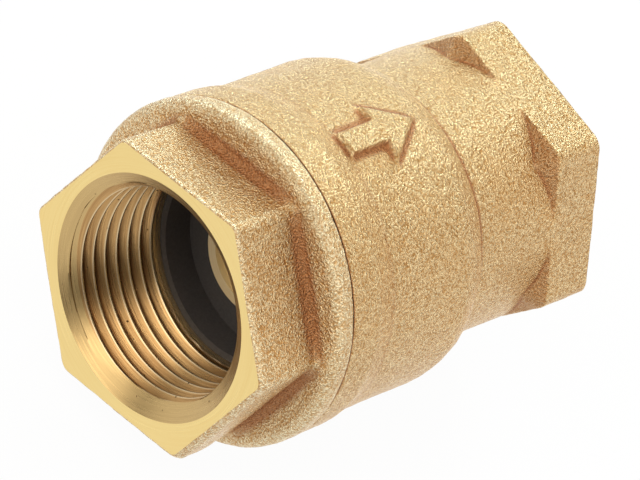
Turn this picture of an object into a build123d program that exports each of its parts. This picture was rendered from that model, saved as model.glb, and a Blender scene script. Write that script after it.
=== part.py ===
from build123d import *
import os
from math import cos, radians, sqrt, tan

# A spring non-return valve for 1 in pipe, cast in bronze: a body with a hexagon at its outlet, and a
# screwed end cap with a hexagon at its inlet. A disc on a sprung stem closes on a seat ring in the cap.
# The flow runs along +X, the cast arrow is on top, and the origin is on the flow axis at mid-length.
# Sizes are in millimetres.

os.makedirs("parts", exist_ok=True)

# Pipe ports: smooth at the height of the thread's crests, with a wide chamfer at the mouth
PORT_CREST_R = 15.0
MOUTH_FLARE = 2.6
MOUTH_DEPTH = 1.7
INLET_THREAD_LENGTH = 14.4
OUTLET_THREAD_LENGTH = 14.8
THREAD_RUN_OUT = 0.5

# End cap
INLET_FACE_WIDTH = 1.4
INLET_HEX_TURN = 17.3
INLET_HEX_CORNER = 1.5
INLET_HEX_LENGTH = 11.3
HEX_ROOT_FILLET = 1.4
FLANGE_PROUD = 0.1
FLANGE_THICKNESS = 3.1
FLANGE_EDGE = 1.4
SEAM_BREAK = 0.25
CAP_THREAD_CLEARANCE = 0.05
SPIGOT_LENGTH = 6.6
SPIGOT_LEAD = 0.8

# Seat ring, bonded in a counterbore at the inner end of the cap, against a lip of the bore
SEAT_RING_LIP = 0.6
SEAT_RING_CLEARANCE = 0.05
THROAT_STEP = 1.0
SEAT_LIP_HEIGHT = 1.0
SEAT_LIP_WIDTH = 1.2
SEAT_LIP_FOOT = 0.8

# Seal ring between the cap and the body
SEAL_SECTION = 1.75
SEAL_CLEARANCE = 0.025
SEAL_GROOVE_WIDTH = 2.3

# Body
BODY_WALL = 3.4
COLLAR_STEP = 0.8
COLLAR_LENGTH = 5.2
COLLAR_TAPER = 3.4
CAP_THREAD_LENGTH = 9.6
THREAD_RELIEF = 0.2
FLOW_GAP = 3.15
SHOULDER_LENGTH = 6.6
SHOULDER_LAND = 0.9
SHOULDER_FILLET = 1.2
PASSAGE_STEP = 0.8
PASSAGE_LENGTH = 5.0
OUTLET_FACE_WIDTH = 2.4
OUTLET_HEX_CORNER = 2.5
OUTLET_HEX_LENGTH = 8.8
OUTLET_HEX_COVE = 1.8
OUTLET_HEX_DRAFT = 15.0
NECK_PROUD = 0.1

# Flow arrow, cast on the barrel
ARROW_LENGTH = 13.0
ARROW_HEAD_LENGTH = 6.2
ARROW_HEAD_WIDTH = 9.0
ARROW_SHAFT_WIDTH = 3.4
ARROW_PROUD = 0.6
ARROW_EDGE = 0.25

# Valve disc: a plastic disc in a brass holder, clamped by a dished retainer and a slotted screw
SEAT_GAP = 0.05
DISC_OVERHANG = 0.9
DISC_THICKNESS = 3.0
DISC_CLEARANCE = 0.05
HOLDER_RIM_WALL = 0.9
HOLDER_RIM_DEPTH = 2.2
HOLDER_EDGE = 0.4
HOLDER_PLATE = 2.4
HOLDER_HUB_WALL = 2.3
HOLDER_HUB_LENGTH = 1.2
PILOT_R = 3.95
RETAINER_RECESS_R = 6.7
RETAINER_RIM = 1.7
RETAINER_THICKNESS = 2.4
RETAINER_RECESS_DEPTH = 1.4
RETAINER_EDGE = 0.3
SCREW_R = 2.5
SCREW_LENGTH = 6.4
SCREW_CLEARANCE = 0.05
SCREW_HEAD_R = 4.25
SCREW_HEAD_HEIGHT = 1.2
SCREW_SLOT_WIDTH = 1.0
SCREW_SLOT_DEPTH = 0.6
SCREW_HOLE_EXTRA = 0.7

# Stem, guide and spring
LIFT = 7.0
STOP_GAP = 0.05
STEM_R = 3.0
STEM_TAIL = 1.0
STEM_LEAD = 0.5
RUNNING_CLEARANCE = 0.06
BUSH_WALL = 1.1
BUSH_FLANGE_LIP = 0.85
BUSH_FLANGE = 0.8
BUSH_CLEARANCE = 0.02
GUIDE_TUBE_LENGTH = 6.8
GUIDE_TUBE_WALL = 1.3
GUIDE_SHOULDER = 3.35
GUIDE_CLEARANCE = 0.05
SPIDER_THICKNESS = 3.2
ARM_COUNT = 3
ARM_WIDTH = 3.4
ARM_FILLET = 1.2
WIRE_D = 1.1
SPRING_TURNS = 6.0
SPRING_CLEARANCE = 0.9
SPRING_GROUND = 0.2
SPRING_LEDGE = 0.9

# Circlip that keeps the guide in the body
CLIP_THICKNESS = 1.2
CLIP_GROOVE_DEPTH = 0.85
CLIP_CLEARANCE = 0.05
CLIP_WIDTH = 2.0
CLIP_OFFSET = 0.4
CLIP_GAP = 7.0
CLIP_LUG_R = 1.7
CLIP_HOLE_R = 0.8
CLIP_LAND = 0.9

# Places along the flow axis, from the inlet to the outlet. Each piece stacks on the one before it.
inlet_to_seat = INLET_HEX_LENGTH + FLANGE_THICKNESS + SPIGOT_LENGTH + SEAT_LIP_HEIGHT
seat_to_bush = SEAT_GAP + DISC_THICKNESS + HOLDER_PLATE + HOLDER_HUB_LENGTH + LIFT + STOP_GAP
bush_to_passage = BUSH_FLANGE + GUIDE_TUBE_LENGTH + SPIDER_THICKNESS
passage_to_outlet = PASSAGE_LENGTH + OUTLET_THREAD_LENGTH + MOUTH_DEPTH
length = inlet_to_seat + seat_to_bush + bush_to_passage + passage_to_outlet
inlet_x = -length / 2
outlet_x = length / 2
flange_x = inlet_x + INLET_HEX_LENGTH
seam_x = flange_x + FLANGE_THICKNESS
spigot_end_x = seam_x + SPIGOT_LENGTH
inlet_thread_end_x = inlet_x + MOUTH_DEPTH + INLET_THREAD_LENGTH
seat_ring_x = inlet_thread_end_x + THREAD_RUN_OUT + SEAT_RING_LIP
seat_x = spigot_end_x + SEAT_LIP_HEIGHT
disc_face_x = seat_x + SEAT_GAP
disc_back_x = disc_face_x + DISC_THICKNESS
plate_back_x = disc_back_x + HOLDER_PLATE
hub_end_x = plate_back_x + HOLDER_HUB_LENGTH
bush_front_x = hub_end_x + LIFT + STOP_GAP
guide_front_x = bush_front_x + BUSH_FLANGE
spider_front_x = guide_front_x + GUIDE_TUBE_LENGTH
guide_seat_x = spider_front_x + SPIDER_THICKNESS
clip_x = spider_front_x - CLIP_CLEARANCE - CLIP_THICKNESS
guide_bore_x = clip_x - CLIP_CLEARANCE - CLIP_LAND
hex_x = outlet_x - OUTLET_HEX_LENGTH

# Radii, from the ports outwards through the disc, the chamber and the walls
mouth_r = PORT_CREST_R + MOUTH_FLARE
inlet_hex_r = mouth_r + INLET_FACE_WIDTH
outlet_hex_r = mouth_r + OUTLET_FACE_WIDTH
neck_r = outlet_hex_r + NECK_PROUD
throat_r = PORT_CREST_R - THROAT_STEP
passage_r = PORT_CREST_R - PASSAGE_STEP
seat_lip_r = throat_r + SEAT_LIP_WIDTH
seat_ring_r = seat_lip_r + SEAT_LIP_FOOT
disc_r = seat_lip_r + DISC_OVERHANG
holder_recess_r = disc_r + DISC_CLEARANCE
holder_r = holder_recess_r + HOLDER_RIM_WALL
chamber_r = holder_r + FLOW_GAP
cap_thread_r = chamber_r + THREAD_RELIEF
spigot_r = cap_thread_r - CAP_THREAD_CLEARANCE
barrel_r = cap_thread_r + BODY_WALL
collar_r = barrel_r + COLLAR_STEP
flange_r = collar_r + FLANGE_PROUD
seal_r = cap_thread_r - SEAL_CLEARANCE - SEAL_SECTION / 2
seal_groove_r = seal_r - SEAL_SECTION / 2 - SEAL_CLEARANCE
guide_bore_r = passage_r + GUIDE_SHOULDER
guide_ring_r = guide_bore_r - GUIDE_CLEARANCE
clip_groove_r = guide_bore_r + CLIP_GROOVE_DEPTH
clip_r = clip_groove_r - CLIP_CLEARANCE
retainer_r = RETAINER_RECESS_R + RETAINER_RIM
screw_hole_r = SCREW_R + SCREW_CLEARANCE
holder_hub_r = STEM_R + HOLDER_HUB_WALL
stem_bore_r = STEM_R + RUNNING_CLEARANCE
bush_r = stem_bore_r + BUSH_WALL
guide_hole_r = bush_r + BUSH_CLEARANCE
guide_tube_r = guide_hole_r + GUIDE_TUBE_WALL
spring_r = guide_tube_r + SPRING_CLEARANCE + WIRE_D / 2
guide_base_r = spring_r + WIRE_D / 2 + SPRING_LEDGE

# The chamber narrows at 45 degrees to the guide's bore. The shoulder outside ends past the clip's groove.
chamber_end_x = guide_bore_x - (chamber_r - guide_bore_r)
neck_x = spider_front_x + SHOULDER_LAND
barrel_end_x = neck_x - SHOULDER_LENGTH
barrel_x = seam_x + COLLAR_LENGTH + COLLAR_TAPER


# End cap: inlet hexagon, flange, and a threaded spigot with a counterbore for the seat ring
inlet_hex_reach = inlet_hex_r / cos(radians(30))
root_room = flange_r - FLANGE_EDGE - inlet_hex_reach
with BuildPart() as end_cap:
    with BuildSketch(Plane.YZ.offset(inlet_x)) as inlet_hex:
        RegularPolygon(inlet_hex_r, 6, major_radius=False, rotation=-INLET_HEX_TURN)
        fillet(inlet_hex.vertices(), INLET_HEX_CORNER)
    extrude(amount=INLET_HEX_LENGTH + FLANGE_THICKNESS / 2)
    with BuildSketch(Plane.XZ):
        with BuildLine():
            front = Line((flange_x, 0), (flange_x, flange_r - FLANGE_EDGE))
            edge = RadiusArc(front @ 1, (flange_x + FLANGE_EDGE, flange_r), FLANGE_EDGE)
            Polyline(
                edge @ 1,
                (seam_x - SEAM_BREAK, flange_r),
                (seam_x, flange_r - SEAM_BREAK),
                (seam_x, seal_groove_r),
                (seam_x + SEAL_GROOVE_WIDTH, seal_groove_r),
                (seam_x + SEAL_GROOVE_WIDTH, spigot_r),
                (spigot_end_x - SPIGOT_LEAD, spigot_r),
                (spigot_end_x, spigot_r - SPIGOT_LEAD),
                (spigot_end_x, 0),
                front @ 0,
            )
        make_face()
    revolve(axis=Axis.X)
    root_edges = end_cap.edges().filter_by_position(Axis.X, flange_x - 0.01, flange_x + 0.01)
    fillet(root_edges.filter_by(lambda edge: edge.length < flange_r), min(HEX_ROOT_FILLET, root_room))
    with BuildSketch(Plane.XZ):
        with BuildLine():
            Polyline(
                (inlet_x, 0),
                (inlet_x, mouth_r),
                (inlet_x + MOUTH_DEPTH, PORT_CREST_R),
                (inlet_thread_end_x, PORT_CREST_R),
                (inlet_thread_end_x + THREAD_RUN_OUT, throat_r),
                (seat_ring_x, throat_r),
                (seat_ring_x, seat_ring_r + SEAT_RING_CLEARANCE),
                (spigot_end_x, seat_ring_r + SEAT_RING_CLEARANCE),
                (spigot_end_x, 0),
                close=True,
            )
        make_face()
    revolve(axis=Axis.X, mode=Mode.SUBTRACT)
end_cap.part.label = "end_cap"
export_step(end_cap.part, "parts/end_cap.step")


# Seat ring with the raised lip that the disc closes on
with BuildPart() as seat_ring:
    with BuildSketch(Plane.XZ):
        with BuildLine():
            Polyline(
                (seat_ring_x + SEAT_RING_CLEARANCE, throat_r),
                (seat_ring_x + SEAT_RING_CLEARANCE, seat_ring_r),
                (spigot_end_x, seat_ring_r),
                (seat_x, seat_lip_r),
                (seat_x, throat_r),
                close=True,
            )
        make_face()
    revolve(axis=Axis.X)
seat_ring.part.label = "seat_ring"
export_step(seat_ring.part, "parts/seat_ring.step")


# Seal ring, in the groove at the root of the cap's thread
with BuildPart() as cap_seal:
    with BuildSketch(Plane.XZ):
        with Locations((seam_x + SEAL_CLEARANCE + SEAL_SECTION / 2, seal_r)):
            Circle(SEAL_SECTION / 2)
    revolve(axis=Axis.X)
cap_seal.part.label = "cap_seal"
export_step(cap_seal.part, "parts/cap_seal.step")


# Flow arrow, curved like the barrel that it is cast on
arrow_tip_x = (barrel_x + barrel_end_x + ARROW_LENGTH) / 2
with BuildPart() as flow_arrow:
    with BuildSketch(Plane.XY):
        with BuildLine():
            half_arrow = Polyline(
                (arrow_tip_x, 0),
                (arrow_tip_x - ARROW_HEAD_LENGTH, ARROW_HEAD_WIDTH / 2),
                (arrow_tip_x - ARROW_HEAD_LENGTH, ARROW_SHAFT_WIDTH / 2),
                (arrow_tip_x - ARROW_LENGTH, ARROW_SHAFT_WIDTH / 2),
                (arrow_tip_x - ARROW_LENGTH, 0),
            )
            mirror(half_arrow, about=Plane.XZ)
        make_face()
    extrude(amount=2 * barrel_r)
    with BuildSketch(Plane.YZ.offset(inlet_x)):
        Circle(barrel_r + ARROW_PROUD)
    extrude(amount=length, mode=Mode.INTERSECT)
    fillet(flow_arrow.faces().sort_by(Axis.Z)[-1].edges(), ARROW_EDGE)


# Outlet hexagon, with coved steps where its corners rise from the neck
with BuildPart() as outlet_hex:
    with BuildSketch(Plane.YZ.offset(hex_x - OUTLET_HEX_COVE)) as outlet_outline:
        RegularPolygon(outlet_hex_r, 6, major_radius=False)
        fillet(outlet_outline.vertices(), OUTLET_HEX_CORNER)
    extrude(amount=OUTLET_HEX_LENGTH + OUTLET_HEX_COVE)
    with BuildSketch(Plane.XZ):
        with BuildLine():
            clear_r = 2 * outlet_hex_r
            step_lean = (clear_r - neck_r - OUTLET_HEX_COVE) * tan(radians(OUTLET_HEX_DRAFT))
            foot = Line((hex_x - OUTLET_HEX_COVE, 0), (hex_x - OUTLET_HEX_COVE, neck_r))
            cove = RadiusArc(foot @ 1, (hex_x, neck_r + OUTLET_HEX_COVE), -OUTLET_HEX_COVE)
            Polyline(
                cove @ 1,
                (hex_x + step_lean, clear_r),
                (outlet_x + step_lean, clear_r),
                (outlet_x + step_lean, 0),
                foot @ 0,
            )
        make_face()
    revolve(axis=Axis.X, mode=Mode.INTERSECT)


# Body: collar, barrel, rounded shoulder, neck and outlet hexagon, bored for the cap and the guide
with BuildPart() as body:
    with BuildSketch(Plane.XZ):
        with BuildLine():
            collar = Polyline(
                (seam_x, 0),
                (seam_x, collar_r - SEAM_BREAK),
                (seam_x + SEAM_BREAK, collar_r),
                (seam_x + COLLAR_LENGTH, collar_r),
                (barrel_x, barrel_r),
                (barrel_end_x, barrel_r),
            )
            shoulder = TangentArc(collar @ 1, (neck_x, neck_r), tangent=(1, 0))
            Polyline(
                shoulder @ 1,
                (hex_x + OUTLET_HEX_COVE, neck_r),
                (outlet_x - MOUTH_DEPTH, mouth_r),
                (outlet_x - MOUTH_DEPTH, 0),
                collar @ 0,
            )
        make_face()
    revolve(axis=Axis.X)
    crease = body.edges().filter_by_position(Axis.X, neck_x - 0.01, neck_x + 0.01)
    fillet(crease.filter_by(GeomType.CIRCLE), SHOULDER_FILLET)
    add(outlet_hex.part)
    add(flow_arrow.part)
    with BuildSketch(Plane.XZ):
        with BuildLine():
            cap_thread_end_x = seam_x + CAP_THREAD_LENGTH
            outlet_thread_x = outlet_x - MOUTH_DEPTH - OUTLET_THREAD_LENGTH
            clip_groove_x = clip_x - CLIP_CLEARANCE
            Polyline(
                (seam_x, 0),
                (seam_x, cap_thread_r),
                (cap_thread_end_x, cap_thread_r),
                (cap_thread_end_x, chamber_r),
                (chamber_end_x, chamber_r),
                (guide_bore_x, guide_bore_r),
                (clip_groove_x, guide_bore_r),
                (clip_groove_x, clip_groove_r),
                (spider_front_x, clip_groove_r),
                (spider_front_x, guide_bore_r),
                (guide_seat_x, guide_bore_r),
                (guide_seat_x, passage_r),
                (outlet_thread_x - THREAD_RUN_OUT, passage_r),
                (outlet_thread_x, PORT_CREST_R),
                (outlet_x - MOUTH_DEPTH, PORT_CREST_R),
                (outlet_x, mouth_r),
                (outlet_x, 0),
                close=True,
            )
        make_face()
    revolve(axis=Axis.X, mode=Mode.SUBTRACT)
body.part.label = "body"
export_step(body.part, "parts/body.step")


# Disc holder, turned in one piece with its stem and bored for the retaining screw
screw_seat_x = disc_face_x - RETAINER_THICKNESS + RETAINER_RECESS_DEPTH
screw_end_x = screw_seat_x + SCREW_LENGTH
stem_end_x = guide_seat_x + STEM_TAIL
with BuildPart() as disc_holder:
    with BuildSketch(Plane.XZ):
        with BuildLine():
            rim_x = disc_back_x - HOLDER_RIM_DEPTH
            Polyline(
                (disc_face_x, screw_hole_r),
                (disc_face_x, PILOT_R),
                (disc_back_x, PILOT_R),
                (disc_back_x, holder_recess_r),
                (rim_x, holder_recess_r),
                (rim_x, holder_r - HOLDER_EDGE),
                (rim_x + HOLDER_EDGE, holder_r),
                (plate_back_x - HOLDER_EDGE, holder_r),
                (plate_back_x, holder_r - HOLDER_EDGE),
                (plate_back_x, holder_hub_r),
                (hub_end_x, holder_hub_r),
                (hub_end_x, STEM_R),
                (stem_end_x - STEM_LEAD, STEM_R),
                (stem_end_x, STEM_R - STEM_LEAD),
                (stem_end_x, 0),
                (screw_end_x + SCREW_HOLE_EXTRA, 0),
                (screw_end_x + SCREW_HOLE_EXTRA, screw_hole_r),
                close=True,
            )
        make_face()
    revolve(axis=Axis.X)
disc_holder.part.label = "disc_holder"
export_step(disc_holder.part, "parts/disc_holder.step")


# Disc that closes on the seat ring's lip
with BuildPart() as seat_disc:
    with BuildSketch(Plane.YZ.offset(disc_face_x)):
        Circle(disc_r)
        Circle(PILOT_R + DISC_CLEARANCE, mode=Mode.SUBTRACT)
    extrude(amount=DISC_THICKNESS)
seat_disc.part.label = "seat_disc"
export_step(seat_disc.part, "parts/seat_disc.step")


# Dished retainer, the brass boss that shows in the inlet
with BuildPart() as disc_retainer:
    with BuildSketch(Plane.XZ):
        with BuildLine():
            retainer_x = disc_face_x - RETAINER_THICKNESS
            Polyline(
                (retainer_x, RETAINER_RECESS_R),
                (retainer_x, retainer_r - RETAINER_EDGE),
                (retainer_x + RETAINER_EDGE, retainer_r),
                (disc_face_x, retainer_r),
                (disc_face_x, screw_hole_r),
                (screw_seat_x, screw_hole_r),
                (screw_seat_x, RETAINER_RECESS_R - RETAINER_EDGE),
                close=True,
            )
        make_face()
    revolve(axis=Axis.X)
disc_retainer.part.label = "disc_retainer"
export_step(disc_retainer.part, "parts/disc_retainer.step")


# Slotted screw that holds the retainer and the disc on the holder
with BuildPart() as disc_screw:
    with BuildSketch(Plane.YZ.offset(screw_seat_x - SCREW_HEAD_HEIGHT)):
        Circle(SCREW_HEAD_R)
    extrude(amount=SCREW_HEAD_HEIGHT)
    chamfer(disc_screw.faces().sort_by(Axis.X)[0].edges(), RETAINER_EDGE)
    with BuildSketch(Plane.YZ.offset(screw_seat_x)):
        Circle(SCREW_R)
    extrude(amount=SCREW_LENGTH)
    with BuildSketch(Plane.YZ.offset(screw_seat_x - SCREW_HEAD_HEIGHT)):
        Rectangle(2 * SCREW_HEAD_R, SCREW_SLOT_WIDTH)
    extrude(amount=SCREW_SLOT_DEPTH, mode=Mode.SUBTRACT)
disc_screw.part.label = "disc_screw"
export_step(disc_screw.part, "parts/disc_screw.step")


# Guide: a ring on the body's shoulder, arms, and a tube that carries the bush inside the spring
with BuildPart() as guide_spider:
    with BuildSketch(Plane.YZ.offset(spider_front_x)) as spider_outline:
        Circle(guide_ring_r)
        Circle(passage_r, mode=Mode.SUBTRACT)
        Circle(guide_base_r)
        with PolarLocations(0, ARM_COUNT, start_angle=90):
            Rectangle((passage_r + guide_ring_r) / 2, ARM_WIDTH, align=(Align.MIN, Align.CENTER))
        fillet(spider_outline.face().inner_wires().vertices(), ARM_FILLET)
    extrude(amount=SPIDER_THICKNESS)
    with BuildSketch(Plane.YZ.offset(guide_front_x)):
        Circle(guide_tube_r)
    extrude(amount=GUIDE_TUBE_LENGTH + SPIDER_THICKNESS)
    with BuildSketch(Plane.YZ.offset(guide_front_x)):
        Circle(guide_hole_r)
    extrude(amount=GUIDE_TUBE_LENGTH + SPIDER_THICKNESS, mode=Mode.SUBTRACT)
guide_spider.part.label = "guide_spider"
export_step(guide_spider.part, "parts/guide_spider.step")


# Flanged bush that the stem slides in, and that stops the disc at full lift
with BuildPart() as guide_bush:
    with BuildSketch(Plane.YZ.offset(bush_front_x)):
        Circle(bush_r + BUSH_FLANGE_LIP)
    extrude(amount=BUSH_FLANGE)
    with BuildSketch(Plane.YZ.offset(bush_front_x)):
        Circle(bush_r)
    extrude(amount=bush_to_passage)
    with BuildSketch(Plane.YZ.offset(bush_front_x)):
        Circle(stem_bore_r)
    extrude(amount=bush_to_passage, mode=Mode.SUBTRACT)
guide_bush.part.label = "guide_bush"
export_step(guide_bush.part, "parts/guide_bush.step")


# Circlip with an eccentric ring and two drilled lugs, its gap at the bottom
lug_y = CLIP_GAP / 2 + CLIP_LUG_R
lug_z = -sqrt((clip_r - CLIP_LUG_R) ** 2 - lug_y**2)
with BuildPart() as guide_clip:
    with BuildSketch(Plane.YZ.offset(clip_x)):
        Circle(clip_r)
        with Locations((0, -CLIP_OFFSET)):
            Circle(clip_r - CLIP_WIDTH, mode=Mode.SUBTRACT)
        Rectangle(CLIP_GAP, clip_r, align=(Align.CENTER, Align.MAX), mode=Mode.SUBTRACT)
        with Locations((-lug_y, lug_z), (lug_y, lug_z)):
            Circle(CLIP_LUG_R)
            Circle(CLIP_HOLE_R, mode=Mode.SUBTRACT)
    extrude(amount=CLIP_THICKNESS)
guide_clip.part.label = "guide_clip"
export_step(guide_clip.part, "parts/guide_clip.step")


# Spring between the holder and the guide, with its end coils ground flat
coil_start_x = plate_back_x + WIRE_D / 2 - SPRING_GROUND
coil_length = spider_front_x - plate_back_x - WIRE_D + 2 * SPRING_GROUND
with BuildPart() as spring:
    with BuildLine():
        coil = Helix(
            pitch=coil_length / SPRING_TURNS,
            height=coil_length,
            radius=spring_r,
            center=(coil_start_x, 0, 0),
            direction=(1, 0, 0),
        )
    with BuildSketch(Plane(origin=coil @ 0, z_dir=coil % 0)):
        Circle(WIRE_D / 2)
    sweep(path=coil, is_frenet=True)
    split(bisect_by=Plane.YZ.offset(plate_back_x), keep=Keep.TOP)
    split(bisect_by=Plane.YZ.offset(spider_front_x), keep=Keep.BOTTOM)
spring.part.label = "spring"
export_step(spring.part, "parts/spring.step")

print("length", round(length, 3), "inlet hexagon", 2 * inlet_hex_r, "outlet hexagon", 2 * outlet_hex_r)
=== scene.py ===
# %% [markdown]
# # A cast bronze spring non-return valve
#
# The valve screws into a pipe line. Water pushes a disc off its rubber seat and flows through, and a
# spring closes the disc when the flow stops. The outside is sand-cast bronze. The end faces, the
# bores and the pipe threads are machined, so they are smooth and yellow where the casting is brown.
#
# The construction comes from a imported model, which is loaded first and never moved. This script
# gives that model its looks, so every size below is in metres and in the model's own frame: the flow
# runs along +X, the cast arrow is on top, and the origin is on the axis at mid-length.

from functools import partial
from math import cos, pi, radians, sin, sqrt, tan

import bmesh
import bpy
import numpy as np
from mathutils import Matrix, Vector, noise


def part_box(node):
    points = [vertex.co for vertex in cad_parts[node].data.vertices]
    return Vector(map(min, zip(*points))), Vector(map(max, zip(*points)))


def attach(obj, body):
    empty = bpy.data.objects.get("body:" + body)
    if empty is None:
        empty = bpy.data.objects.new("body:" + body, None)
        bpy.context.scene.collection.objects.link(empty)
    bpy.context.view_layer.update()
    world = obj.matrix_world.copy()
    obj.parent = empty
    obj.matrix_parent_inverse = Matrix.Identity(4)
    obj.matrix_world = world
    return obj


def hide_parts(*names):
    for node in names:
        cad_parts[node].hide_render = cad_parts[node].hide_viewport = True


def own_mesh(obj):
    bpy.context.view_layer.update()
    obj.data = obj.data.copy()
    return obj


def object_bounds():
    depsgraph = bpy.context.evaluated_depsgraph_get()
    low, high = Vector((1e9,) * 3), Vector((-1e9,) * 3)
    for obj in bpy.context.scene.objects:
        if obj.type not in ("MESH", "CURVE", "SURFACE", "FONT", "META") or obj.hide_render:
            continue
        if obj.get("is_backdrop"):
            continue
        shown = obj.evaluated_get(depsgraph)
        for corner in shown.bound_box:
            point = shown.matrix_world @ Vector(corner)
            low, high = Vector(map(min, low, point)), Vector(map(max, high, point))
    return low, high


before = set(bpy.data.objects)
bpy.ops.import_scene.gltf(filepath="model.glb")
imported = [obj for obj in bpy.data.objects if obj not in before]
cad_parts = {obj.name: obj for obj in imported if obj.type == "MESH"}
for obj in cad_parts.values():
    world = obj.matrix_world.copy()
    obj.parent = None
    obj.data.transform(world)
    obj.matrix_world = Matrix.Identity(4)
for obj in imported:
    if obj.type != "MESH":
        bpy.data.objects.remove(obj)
cad_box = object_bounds()
MM = 0.001
print("nodes:", ", ".join(sorted(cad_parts)))

# %% [markdown]
# ## Sizes taken from the model
#
# Places along the flow and outer radii are read from the boxes of the model's pieces, so they can't
# drift away from it. What a box doesn't tell, such as a hexagon's corner or a thread's pitch, is
# written as a named value in the cell that needs it first.

# %% Sizes
cap_low, cap_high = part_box("end_cap")
body_low, body_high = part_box("body")
clip_low, clip_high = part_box("guide_clip")
seat_ring_low, seat_ring_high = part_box("seat_ring")
spring_low, spring_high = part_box("spring")
guide_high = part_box("guide_spider")[1]

INLET_X, SPIGOT_END_X = cap_low.x, cap_high.x
SEAM_X, OUTLET_X = body_low.x, body_high.x
FLANGE_R = cap_high.z
print("length", round((OUTLET_X - INLET_X) / MM, 2), "mm, flange radius", round(FLANGE_R / MM, 2), "mm")

# %% [markdown]
# ## Skins on rows and columns
#
# Both castings are round about the flow axis, apart from their hexagons. So each skin is a grid:
# columns stand round the axis, and rows follow a section from one end to the other. A hexagon is a
# radius that changes with the angle. The columns crowd together at its corners, which are sharp.

# %% Rows and columns
COLUMNS = 360
print("columns:", COLUMNS, "round the axis")


def column_angles(crowding):
    """Angles round the flow axis from the middle of a flat, closer together at a hexagon's corners."""
    even = np.arange(COLUMNS) * 2 * pi / COLUMNS
    return even + crowding / 6 * np.sin(6 * even)


def hexagon_r(angles, flat_r, corner_r):
    """Distance from the axis to a hexagon with rounded corners, at each angle from a flat's middle."""
    half = radians(30)
    from_flat = np.abs((angles + half) % (2 * half) - half)
    from_corner = half - from_flat
    corner_centre = (flat_r - corner_r) / cos(half)
    corner_starts = np.arctan((flat_r - corner_r) * tan(half) / flat_r)
    under_root = np.maximum(corner_r**2 - (corner_centre * np.sin(from_corner)) ** 2, 0)
    corner = corner_centre * np.cos(from_corner) + np.sqrt(under_root)
    return np.where(from_flat <= corner_starts, flat_r / np.cos(from_flat), corner)


def place(x, r, angles):
    """Points on rows and columns. An angle is measured from +Z towards +Y."""
    x, r, angles = np.broadcast_arrays(x, r, angles)
    return np.stack([x, r * np.sin(angles), r * np.cos(angles)], axis=-1)


# %% Sections
def arc(centre_x, centre_r, radius, start, end, steps=10):
    """Points (x, r) of an arc. Its angles are in degrees from +X towards larger radii."""
    turns = np.radians(np.linspace(start, end, steps + 1))
    return [(centre_x + radius * cos(t), centre_r + radius * sin(t)) for t in turns]


def spread(section, rows):
    """The section cut into rows of equal length. The section is a list of points (x, r)."""
    points = np.array(section)
    along = np.concatenate([[0], np.cumsum(np.hypot(*np.diff(points, axis=0).T))])
    marks = np.linspace(0, along[-1], rows)
    return np.stack([np.interp(marks, along, points[:, k]) for k in (0, 1)], axis=1)


def soften(section, reach, step=0.04 * MM):
    """The section with its corners rounded as sand casting leaves them. Its two ends stay."""
    points = np.array(section)
    length = np.hypot(*np.diff(points, axis=0).T).sum()
    fine = spread(section, int(length / step) + 2)
    half = max(int(reach / step / 2), 1)
    padded = np.pad(fine, ((half, half), (0, 0)), mode="reflect", reflect_type="odd")
    kernel = np.ones(2 * half + 1) / (2 * half + 1)
    return np.stack([np.convolve(padded[:, k], kernel, mode="valid") for k in (0, 1)], axis=1)


# %% [markdown]
# ## The unevenness of a casting
#
# A sand casting is never quite flat: the mould's wall gives soft waves a few millimetres long. They
# are moved into the mesh, because they bend the outline and the highlights. The grains of sand are
# far finer than the mesh, so the material makes those. The same grid also tells how hollow each
# place is, which the material uses to paint shade into the creases and a pale highlight onto the ridges.

# %% Relief and hollows
RELIEF = ((5.0 * MM, 0.08 * MM), (1.7 * MM, 0.055 * MM), (0.8 * MM, 0.032 * MM))
HOLLOW_SCALE = 0.1 * MM
# Hollow value given to the seam rows; the material paints them near-black.
SEAM_MARK = 2.5
print("waves:", round(sum(size for wave, size in RELIEF) / MM, 3), "mm at most")


def grid_normals(points):
    """Unit normals of a grid that is closed round its columns, pointing away from the axis."""
    along = np.gradient(points, axis=0)
    around = np.roll(points, -1, axis=1) - np.roll(points, 1, axis=1)
    normals = np.cross(along, around)
    return normals / np.linalg.norm(normals, axis=2, keepdims=True)


def hollows(points, reach=3):
    """How hollow the grid is at each point, from -1 on a ridge to 1 in a crease."""
    rows = np.pad(points, ((reach, reach), (0, 0), (0, 0)), mode="reflect", reflect_type="odd")
    count = len(points)
    total = sum(rows[reach + k : reach + k + count] for k in range(-reach, reach + 1) if k)
    total = total + sum(np.roll(points, k, axis=1) for k in range(-reach, reach + 1) if k)
    lift = np.sum((total / (4 * reach) - points) * grid_normals(points), axis=2)
    return np.clip(lift / HOLLOW_SCALE, -1, 1)


def cast_relief(points):
    """The grid moved along its normals by the waves of the mould. The end rows keep their x."""
    height = np.zeros(points.shape[:2])
    for wave, size in RELIEF:
        scaled = (points / wave).reshape(-1, 3)
        waves = np.array([noise.noise(Vector(p)) for p in scaled])
        height += size * waves.reshape(height.shape)
    moves = grid_normals(points) * height[..., None]
    moves[[0, -1], :, 0] = 0
    return points + moves


# %% [markdown]
# ## The end cap's cast side
#
# The cap is an inlet hexagon on a round flange. Its side goes from the machined face, along the
# hexagon, round the root, up the flange and over its rim to the seam. A real casting isn't true to
# its drawing: this one is full behind the face, a little off-centre, and swollen at one bottom corner.
# Two small tables say by how much, so the regular shape and its faults stay apart.

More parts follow.
